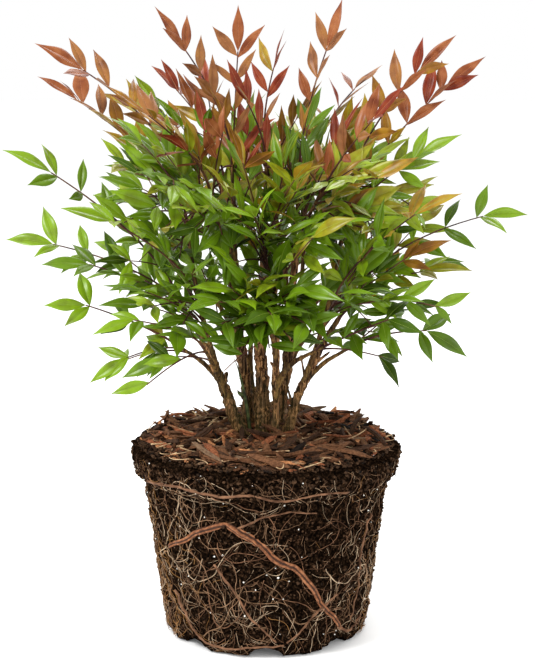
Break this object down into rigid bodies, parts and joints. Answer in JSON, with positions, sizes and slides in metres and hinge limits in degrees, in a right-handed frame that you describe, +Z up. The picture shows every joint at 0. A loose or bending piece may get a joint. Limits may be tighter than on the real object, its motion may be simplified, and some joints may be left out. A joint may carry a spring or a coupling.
{
  "type": "heavenly bamboo shrub on its root ball",
  "caption": "Young multi-stemmed evergreen shrub with upright canes, tiered compound foliage and a tapered root ball that stands on its flat underside.",
  "frame": {"origin": "centre of the root ball's flat underside", "axes": "+Z straight up along the clump, the longest extent; +X to the right and -Y to the front of the pictured side"},
  "size_m": [0.5279, 0.4466, 0.6467],
  "materials": {
    "soil": "rough bark compost",
    "bark": "fissured bark",
    "leaf_copper": "satin leaf",
    "leaf_olive": "satin leaf",
    "leaf_green": "satin leaf",
    "leaf_deep_green": "satin leaf"
  },
  "bodies": {
    "root": {"root_ball": "soil", "cane_back_left": "bark", "cane_back_right": "bark", "cane_centre": "bark", "cane_inner_left": "bark", "cane_inner_right": "bark", "cane_left": "bark", "cane_right": "bark", "cane_slim": "bark", "bough_low_back_left": "bark", "bough_low_back_right": "bark", "bough_low_front_left": "bark", "bough_low_front_right": "bark", "bough_low_left": "bark", "bough_low_right": "bark", "bough_middle_back": "bark", "bough_middle_front": "bark", "bough_middle_front_left": "bark", "bough_middle_front_right": "bark", "bough_top_back": "bark", "bough_upper_back_left": "bark", "bough_upper_back_right": "bark", "bough_upper_front_left": "bark", "bough_upper_front_right": "bark", "bough_upper_left": "bark", "bough_upper_right": "bark", "foliage_low_back_left": "leaf_deep_green", "foliage_low_back_right": "leaf_deep_green", "foliage_low_front_left": "leaf_deep_green", "foliage_low_front_right": "leaf_deep_green", "foliage_low_left": "leaf_deep_green", "foliage_low_right": "leaf_deep_green", "foliage_middle_back": "leaf_green", "foliage_middle_back_left": "leaf_green", "foliage_middle_back_right": "leaf_green", "foliage_middle_front": "leaf_green", "foliage_middle_front_left": "leaf_green", "foliage_middle_front_right": "leaf_green", "foliage_middle_left": "leaf_green", "foliage_middle_right": "leaf_green", "foliage_top_back": "leaf_copper", "foliage_top_front": "leaf_copper", "foliage_top_left": "leaf_copper", "foliage_top_right": "leaf_copper", "foliage_upper_back_left": "leaf_olive", "foliage_upper_back_right": "leaf_olive", "foliage_upper_front": "leaf_olive", "foliage_upper_front_left": "leaf_olive", "foliage_upper_front_right": "leaf_olive", "foliage_upper_left": "leaf_olive", "foliage_upper_right": "leaf_olive"}
  },
  "joints": []
}
